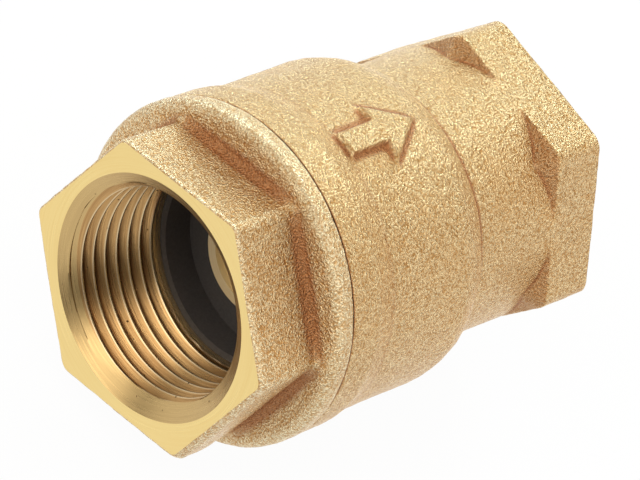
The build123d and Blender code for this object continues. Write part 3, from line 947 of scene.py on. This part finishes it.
print("barrel rows every", round(row_step / MM, 2), "mm")

# %% The outlet hexagon
OUTLET_HEX_R = 20.0 * MM
OUTLET_HEX_CORNER = 2.5 * MM
OUTLET_OFF_CENTRE = 0.15 * MM
OUTLET_OFF_CENTRE_ANGLE = radians(-30)
STEP_LEAN = 0.8
STEP_LAND = 1.5 * MM
STEP_ROWS, FLAT_ROWS = 25, 16
STEP_SOFTNESS = 0.5 * MM


def step_section(hex_r):
    """From the neck up the step of the outlet hexagon and over its edge, at one angle."""
    rise = max(hex_r - NECK_R, 0)
    foot = (STEP_TOP_X - STEP_LEAN * rise, NECK_R)
    top = (STEP_TOP_X + CORNER_GAP, hex_r)
    return [(STEP_START_X, NECK_R), foot, top, (STEP_TOP_X + STEP_LAND, hex_r)]


outlet_hex_r = hexagon_r(body_angles, OUTLET_HEX_R, OUTLET_HEX_CORNER)
outlet_hex_r = outlet_hex_r + OUTLET_OFF_CENTRE * np.cos(body_angles - OUTLET_OFF_CENTRE_ANGLE)
sections = [spread(soften(step_section(r), STEP_SOFTNESS), STEP_ROWS) for r in outlet_hex_r]
step = np.stack(sections, axis=1)
flat_share = np.linspace(0, 1, FLAT_ROWS)[:, None]
flat_x = step[-1, :, 0] + (OUTLET_X - step[-1, :, 0]) * flat_share
print("outlet steps: at most", round((outlet_hex_r.max() - NECK_R) / MM, 2), "mm high")

# %% [markdown]
# ## The flow arrow
#
# A cast arrow on top of the barrel shows which way the water goes. It is part of the casting, so it
# is a rise in the same grid: the distance of each point to the arrow's outline sets how high it is.

# %% The flow arrow
ARROW_LENGTH = 13.0 * MM
ARROW_HEAD_LENGTH = 6.2 * MM
ARROW_HEAD_WIDTH = 9.0 * MM
ARROW_SHAFT_WIDTH = 3.4 * MM
ARROW_PROUD = 0.6 * MM
ARROW_EDGE = 0.7 * MM
ARROW_FOOT = 0.7
ARROW_TIP_X = (barrel_start_x + barrel_end_x + ARROW_LENGTH) / 2


def arrow_rise(x, angles, r):
    """Height of the arrow at each point of the barrel."""
    side = np.abs(r * np.sin(angles))
    half_angle = np.arctan(ARROW_HEAD_WIDTH / 2 / ARROW_HEAD_LENGTH)
    to_side = (ARROW_TIP_X - x) * np.sin(half_angle) - side * np.cos(half_angle)
    in_head = np.minimum(x - (ARROW_TIP_X - ARROW_HEAD_LENGTH), to_side)
    in_shaft = np.minimum(x - (ARROW_TIP_X - ARROW_LENGTH), ARROW_SHAFT_WIDTH / 2 - side)
    in_shaft = np.minimum(in_shaft, (ARROW_TIP_X - ARROW_HEAD_LENGTH / 2) - x)
    inside = np.clip(np.maximum(in_head, in_shaft) / ARROW_EDGE + ARROW_FOOT, 0, 1)
    return np.where(np.cos(angles) > 0, ARROW_PROUD * inside * inside * (3 - 2 * inside), 0)


barrel_x, barrel_r = barrel_rows[:, :1], barrel_rows[:, 1:]
arrow = arrow_rise(barrel_x, body_angles, barrel_r)
barrel = place(barrel_x, barrel_r + arrow, body_angles)
print("arrow:", round(arrow.max() / MM, 2), "mm proud")

# %% [markdown]
# ## Painted shade on the outlet steps
#
# The slopes that face the inlet are painted darker than the neck, as shade. They are too wide to count
# as hollows, so their own direction gives them a share of the hollows' painted red-brown shade.

# %% The body's cast side
STEP_SHADE_PAINT = 0.5
STEP_SHADE_GAIN, STEP_SHADE_START = 2, 0.4

step_up = place(step[..., 0], step[..., 1], body_angles)
flats = place(flat_x, step[-1, :, 1], body_angles)
body_side = np.concatenate([barrel, step_up[1:], flats[1:]])
body_hollows = hollows(body_side)
facing_inlet = -grid_normals(body_side)[..., 0]
painted_step_shade = np.clip(STEP_SHADE_GAIN * facing_inlet - STEP_SHADE_START, 0, 1)
on_step = body_side[..., 0] > STEP_START_X
# Painted shade on the slopes that face the inlet.
body_hollows = np.maximum(body_hollows, STEP_SHADE_PAINT * painted_step_shade * on_step)
body_hollows[0] = SEAM_MARK
body_side = cast_relief(body_side)
print("body side:", body_side.shape[0], "rows of", COLUMNS, "columns")

# %% [markdown]
# ## The body
#
# Inside, the body is bored for the cap's thread, the disc's chamber, the circlip and the guide, and
# it is threaded at the outlet. Hardly any of this is seen, so corners of a turned section are enough,
# and the outlet's thread has half as many rows per turn as the inlet's.

# %% The body's cut parts
OUTLET_THREAD_END = 16.5 * MM
CHAMBER_R = 20.2 * MM
CAP_THREAD_R = 20.4 * MM
CAP_THREAD_LENGTH = 9.6 * MM
GUIDE_BORE_R = 17.55 * MM
CLIP_GROOVE_R = 18.4 * MM
CLIP_LAND = 0.9 * MM

outlet_circle = place(OUTLET_X, MOUTH_R, body_angles)
outlet_face = ring_between(body_side[-1], outlet_circle, FACE_ROWS)
outlet_thread = run_nodes("outlet_thread", thread_tree, {
    "Face X": OUTLET_X,
    "Direction": -1.0,
    "Rows per Turn": 8,
    "Row Offset": 0.5,
    "Thread End": OUTLET_THREAD_END,
    "Throat Radius": PASSAGE_R,
    "Material": bore_brass,
})
clip_groove_x = clip_low.x - CLIP_CLEARANCE
chamber_end_x = clip_groove_x - CLIP_LAND - (CHAMBER_R - GUIDE_BORE_R)
body_bore = bored([
    (OUTLET_X - OUTLET_THREAD_END - THREAD_RUN_OUT, PASSAGE_R),
    (guide_high.x, PASSAGE_R),
    (guide_high.x, GUIDE_BORE_R),
    (clip_high.x + CLIP_CLEARANCE, GUIDE_BORE_R),
    (clip_high.x + CLIP_CLEARANCE, CLIP_GROOVE_R),
    (clip_groove_x, CLIP_GROOVE_R),
    (clip_groove_x, GUIDE_BORE_R),
    (clip_groove_x - CLIP_LAND, GUIDE_BORE_R),
    (chamber_end_x, CHAMBER_R),
    (SEAM_X + CAP_THREAD_LENGTH, CHAMBER_R),
    (SEAM_X + CAP_THREAD_LENGTH, CAP_THREAD_R),
    (SEAM_X, CAP_THREAD_R),
    (SEAM_X, COLLAR_R - SEAM_BREAK),
], body_angles, last_row=body_side[0])
bore_hollows = np.zeros(body_bore.shape[:2])
bore_hollows[-1] = SEAM_MARK
print("outlet thread:", len(outlet_thread.polygons), "faces")

# %% The body
body = weld("body_casting", (
    (grid_mesh(body_side), CAST, body_hollows),
    (grid_mesh(outlet_face), FACED, None),
    (outlet_thread, BORED, None),
    (grid_mesh(body_bore), BORED, bore_hollows),
), (body_bronze, face_brass, bore_brass))
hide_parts("body")
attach(body, "housing")

# %% [markdown]
# ## The spring
#
# The spring stands between the disc holder and the guide. A real one has closed ends: the first and
# the last coil lie against the next one, and their faces are ground flat. Geometry Nodes sweep a
# circle along the coil's rule. When the disc lifts, the model's joint squeezes the finished mesh
# towards its fixed end, a little further than the lift, so the spring stays clear of the holder.

# %% The spring's tree
WIRE_D = 1.1 * MM
SPRING_R = 6.93 * MM


def spring_tree():
    """A compression spring along X with closed, ground ends."""
    tree = bpy.data.node_groups.new("closed_spring", "GeometryNodeTree")
    size = add_inputs(tree, {
        "Start X": 0.0,
        "End X": 0.01,
        "Radius": SPRING_R,
        "Wire": WIRE_D,
        "Turns": 7.0,
        "Points": 420,
        "Sides": 20,
        "Ground": 0.2 * MM,
        "Material": None,
    })
    line = add_node(tree, "GeometryNodeCurvePrimitiveLine")[0]
    line = add_node(tree, "GeometryNodeResampleCurve", {"Curve": line, "Count": size["Points"]})[0]
    share = add_node(tree, "GeometryNodeSplineParameter")["Factor"]
    turn = times(share, size["Turns"])
    first = calc("MINIMUM", turn, 1)
    last = calc("MAXIMUM", minus(turn, minus(size["Turns"], 1)), 0)
    middle = minus(turn, plus(first, last))
    length = minus(size["End X"], size["Start X"])
    inside = calc("MULTIPLY_ADD", size["Ground"], 2, minus(length, size["Wire"]))
    open_length = calc("MULTIPLY_ADD", size["Wire"], -2, inside)
    pitch = over(open_length, minus(size["Turns"], 2))
    closed = times(plus(first, last), size["Wire"])
    begin = minus(calc("MULTIPLY_ADD", size["Wire"], 0.5, size["Start X"]), size["Ground"])
    x = plus(begin, calc("MULTIPLY_ADD", middle, pitch, closed))
    angle = times(turn, 2 * pi)
    y, z = (times(calc(kind, angle), size["Radius"]) for kind in ("COSINE", "SINE"))
    path = vector_of(x, y, z)
    line = add_node(tree, "GeometryNodeSetPosition", {"Geometry": line, "Position": path})[0]
    section = add_node(tree, "GeometryNodeCurvePrimitiveCircle", {
        "Resolution": size["Sides"],
        "Radius": times(size["Wire"], 0.5),
    })[0]
    coil = add_node(tree, "GeometryNodeCurveToMesh", {
        "Curve": line,
        "Profile Curve": section,
        "Fill Caps": True,
    })[0]
    at = parts_of(add_node(tree, "GeometryNodeInputPosition")[0])
    ground_x = calc("MINIMUM", calc("MAXIMUM", at["X"], size["Start X"]), size["End X"])
    ground = vector_of(ground_x, at["Y"], at["Z"])
    coil = add_node(tree, "GeometryNodeSetPosition", {"Geometry": coil, "Position": ground})[0]
    hand_over(tree, add_node(tree, "GeometryNodeSetShadeSmooth", {"Geometry": coil})[0], size["Material"])
    return tree


coil_mesh = run_nodes("closing_spring", spring_tree(), {
    "Start X": spring_low.x,
    "End X": spring_high.x,
    "Material": wire,
})
closing_spring = add_object("closing_spring", coil_mesh)
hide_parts("spring")
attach(closing_spring, "housing")
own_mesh(closing_spring)

# %% [markdown]
# ## Pieces that keep the model's own shape
#
# The disc, its holder, the guide and their small parts are turned or moulded, and the model already
# has their true shape. Made again here, they could only drift from it, so they just get a finish.

# %% Finishes for the model's pieces
FINISHES = {
    "seat_disc": disc_plastic,
    # The seat ring's black also stands in for painted shade in the throat.
    "seat_ring": seal_rubber,
    "cap_seal": seal_rubber,
    "disc_retainer": turned_brass,
    "disc_holder": turned_brass,
    "guide_spider": turned_brass,
    "disc_screw": steel,
    "guide_clip": steel,
    "guide_bush": acetal,
}
for node, material in FINISHES.items():
    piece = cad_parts[node]
    piece.data.materials.clear()
    piece.data.materials.append(material)
print("finished pieces:", ", ".join(FINISHES))

# %% [markdown]
# ## The floor
#
# The valve lies on white, as for a catalogue. A white background alone would leave it floating, so a
# matt sheet takes its shadow. Through Light Path the sheet looks white to the camera and in the
# metal, without putting more light on the valve.

# %% The floor
FLOOR_Z = cad_box[0].z
FLOOR_HALF = 1.5
CAMERA_WHITE = 0.96
REFLECTED_WHITE = 1.0


def floor_material():
    """A matt white floor that keeps the valve's shadow, and that looks white in the metal."""
    material = bpy.data.materials.new("studio_floor")
    material.use_nodes = True
    tree = material.node_tree
    tree.nodes.remove(tree.nodes["Principled BSDF"])
    matt = add_node(tree, "ShaderNodeBsdfDiffuse", {"Color": (0.8, 0.8, 0.8, 1)})[0]
    glow = add_node(tree, "ShaderNodeEmission", {"Color": (1, 1, 1, 1), "Strength": 1.0})[0]
    path = add_node(tree, "ShaderNodeLightPath")
    seen = times(calc("MAXIMUM", path["Is Glossy Ray"], path["Is Transmission Ray"]), REFLECTED_WHITE)
    share = calc("MAXIMUM", seen, times(path["Is Camera Ray"], CAMERA_WHITE))
    mixed = add_node(tree, "ShaderNodeMixShader", {0: share, 1: matt, 2: glow})[0]
    feed(tree.nodes["Material Output"].inputs["Surface"], mixed)
    return material


floor_mesh = bpy.data.meshes.new("studio_floor")
square = ((-1, -1), (1, -1), (1, 1), (-1, 1))
corners = [(x * FLOOR_HALF, y * FLOOR_HALF, FLOOR_Z) for x, y in square]
floor_mesh.from_pydata(corners, [], [(0, 1, 2, 3)])
floor_mesh.materials.append(floor_material())
floor = add_object("studio_floor", floor_mesh)
floor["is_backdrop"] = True
print("floor at", round(FLOOR_Z / MM, 2), "mm")

# %% [markdown]
# ## The camera
#
# The photograph was taken from some way off with a long lens, so the far end looks hardly smaller
# than the near one. The camera is placed by angles, a distance and a roll round one point. Each of
# these changes the picture in one way, which makes an outline easier to match than by coordinates.

# %% The camera
CAMERA_AZIMUTH = radians(-65.36)
CAMERA_ELEVATION = radians(42.31)
CAMERA_ROLL = radians(34.73)
CAMERA_DISTANCE = 831.4 * MM
CAMERA_AIM = Vector((-0.53, -0.64, -0.82)) * MM
CAMERA_LENS = 337.5


def look_at(target, azimuth, elevation, distance, roll=0.0):
    """The matrix of something that looks at a point. Azimuth 0 looks along +Y."""
    back = Vector((sin(azimuth) * cos(elevation), -cos(azimuth) * cos(elevation), sin(elevation)))
    right = Vector((cos(azimuth), sin(azimuth), 0))
    up = back.cross(right)
    turned_right = cos(roll) * right + sin(roll) * up
    turned_up = cos(roll) * up - sin(roll) * right
    matrix = Matrix((turned_right, turned_up, back)).transposed().to_4x4()
    matrix.translation = target + back * distance
    return matrix


camera_data = bpy.data.cameras.new("photo_camera")
camera_data.lens = CAMERA_LENS
camera = add_object("photo_camera", camera_data)
camera.matrix_world = look_at(CAMERA_AIM, CAMERA_AZIMUTH, CAMERA_ELEVATION, CAMERA_DISTANCE, CAMERA_ROLL)
bpy.context.scene.camera = camera
print("camera at", [round(v / MM) for v in camera.matrix_world.translation], "mm")

# %% [markdown]
# ## The lamp
#
# Most of the light comes from the room. One square lamp, above the valve as the picture shows it,
# brightens the top of the castings and gives the shadow a side. More lamps would each leave their
# own mark in the metal.

# %% The lamp
DAYLIGHT = (0.78, 1.0, 1.1)
LAMP_AZIMUTH = radians(132)
LAMP_ELEVATION = radians(22)
LAMP_DISTANCE = 0.55
LAMP_SIZE = 0.26
LAMP_POWER = 1.7

lamp_data = bpy.data.lights.new("overhead_softbox", "AREA")
lamp_data.shape = "SQUARE"
lamp_data.size = LAMP_SIZE
lamp_data.energy = LAMP_POWER
lamp_data.color = DAYLIGHT
lamp = add_object("overhead_softbox", lamp_data)
lamp.matrix_world = look_at(Vector((0, 0, 0)), LAMP_AZIMUTH, LAMP_ELEVATION, LAMP_DISTANCE)
print("lamp at", [round(v / MM) for v in lamp.matrix_world.translation], "mm")

# %% [markdown]
# ## The room
#
# Metal shows only what it reflects, so the room matters more than the lamp. It has one level, a
# little warm, with soft bright and dim patches, as windows and dark corners would leave them. They
# give each flat of the hexagon its own tone. A picture of a room could do this too, but its patches
# couldn't be moved one at a time. To the camera the room is plain white.

# %% The room
ROOM_LEVEL = 0.92
ROOM_TINT = (1.0, 0.965, 0.91)
BRIGHT_PLACES = (
    ((0.6, -0.76, 0.0), 0.5, 0.95, 1.6),
    ((-0.3, 0.0, 0.95), 0.6, 0.97, 0.6),
    ((-0.8, 0.1, 0.6), 0.75, 0.95, 1.2),
)
DIM_PLACES = (
    ((-0.6, -0.78, 0.18), 0.68, 0.85, 0.8),
    ((0.2, -0.85, 0.49), 0.88, 0.97, 0.85),
    ((-0.93, -0.25, 0.27), 0.955, 0.99, 0.85),
    ((-0.71, 0.7, 0.04), 0.97, 0.99, 0.8),
    ((1.0, 0.1, 0.1), 0.75, 0.95, 0.8),
    ((0.1, 0.95, 0.3), 0.75, 0.95, 0.75),
)
world = bpy.data.worlds.new("studio_room")
world.use_nodes = True
bpy.context.scene.world = world
room = world.node_tree
direction = add_node(room, "ShaderNodeTexCoord")["Generated"]


def patch(side, outer, inner, depth):
    """A soft round patch of the room, given by its direction and the cosines of its two angles."""
    length = sqrt(sum(c * c for c in side))
    unit = tuple(c / length for c in side)
    facing = add_node(room, "ShaderNodeVectorMath", {0: direction, 1: unit}, operation="DOT_PRODUCT")
    values = {"Value": facing["Value"], "From Min": outer, "From Max": inner, "To Max": depth}
    return add_node(room, "ShaderNodeMapRange", values, interpolation_type="SMOOTHSTEP")[0]


strength = ROOM_LEVEL
for bright_place in BRIGHT_PLACES:
    strength = plus(strength, patch(*bright_place))
for dim_place in DIM_PLACES:
    strength = times(strength, minus(1, patch(*dim_place)))
seen = add_node(room, "ShaderNodeLightPath")["Is Camera Ray"]
background = room.nodes["Background"].inputs
feed(background["Strength"], calc("MAXIMUM", seen, strength))
feed(background["Color"], mix_colors(seen, ROOM_TINT, (1.0, 1.0, 1.0)))
bpy.context.scene.view_settings.view_transform = "Standard"
print("room:", len(BRIGHT_PLACES), "bright and", len(DIM_PLACES), "dim patches")

# %% Sizes and finish
shown_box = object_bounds()
for label, box in (("model", cad_box), ("shown", shown_box)):
    print(label, [round(v / MM, 2) for corner in box for v in corner], "mm")
